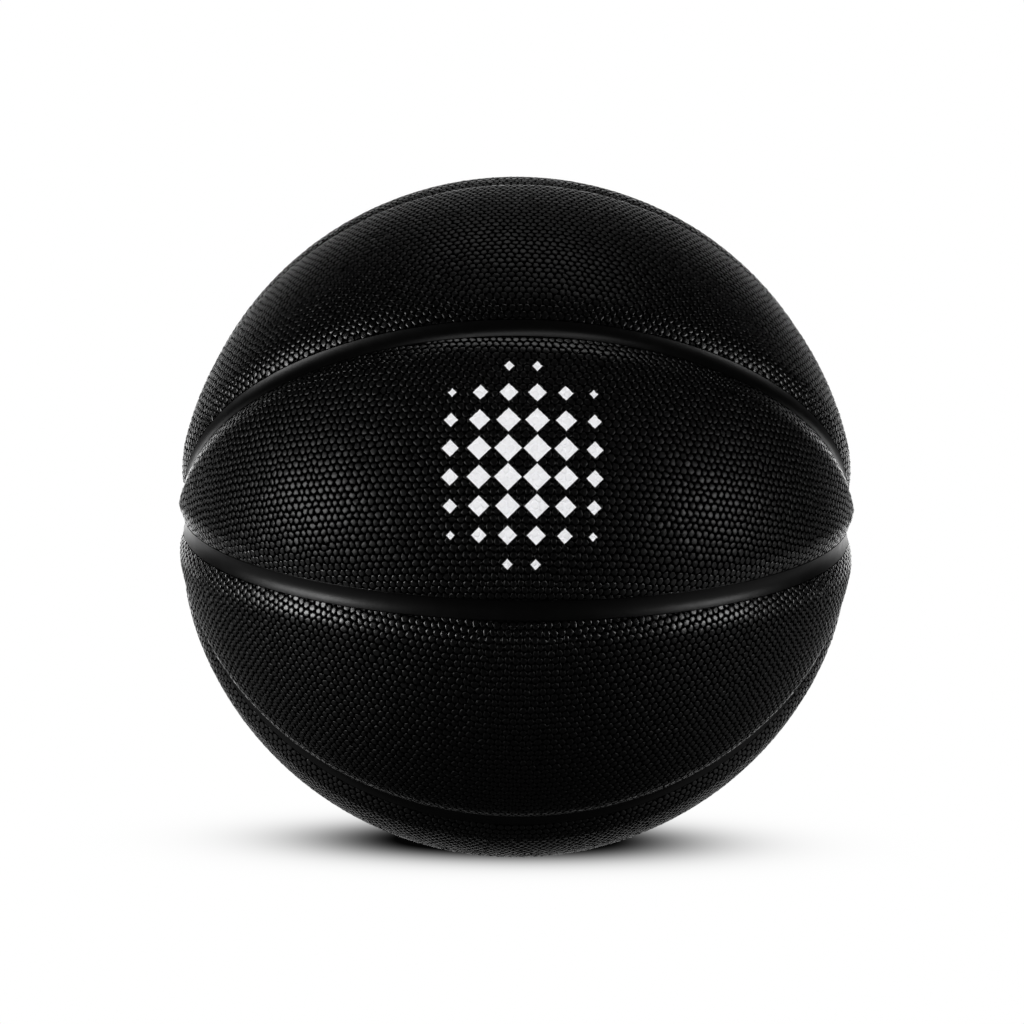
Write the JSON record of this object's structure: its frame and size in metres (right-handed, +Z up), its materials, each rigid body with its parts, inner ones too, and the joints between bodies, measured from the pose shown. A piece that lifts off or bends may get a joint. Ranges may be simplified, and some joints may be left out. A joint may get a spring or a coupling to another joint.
{
  "type": "basketball",
  "caption": "Round black basketball with pebbled lune-shaped cover panels parted by smooth channels that meet at two poles, full, with carcass, winding, bladder and needle valve inside.",
  "frame": {"origin": "centre of the ball, which is the centre of its bounding box", "axes": "+X runs from the centre to the pole that holds the valve, all seams meeting at the two poles on X; +Z is up as the picture shows the ball; -Y is the side that faces the camera"},
  "size_m": [0.233, 0.238, 0.238],
  "materials": {
    "cover": "pebbled, satin black",
    "channel_rubber": "smooth, satin black",
    "thread": "nylon thread, matte off-white",
    "butyl": "smooth, dull black",
    "valve_rubber": "smooth, satin black"
  },
  "bodies": {
    "root": {"cover_panel_1": "cover", "cover_panel_2": "cover", "cover_panel_3": "cover", "cover_panel_4": "cover", "cover_panel_5": "cover", "cover_panel_6": "cover", "cover_panel_7": "cover", "cover_panel_8": "cover", "carcass": "channel_rubber", "winding": "thread", "bladder": "butyl", "valve_housing": "valve_rubber", "valve_core": "valve_rubber"}
  },
  "joints": []
}
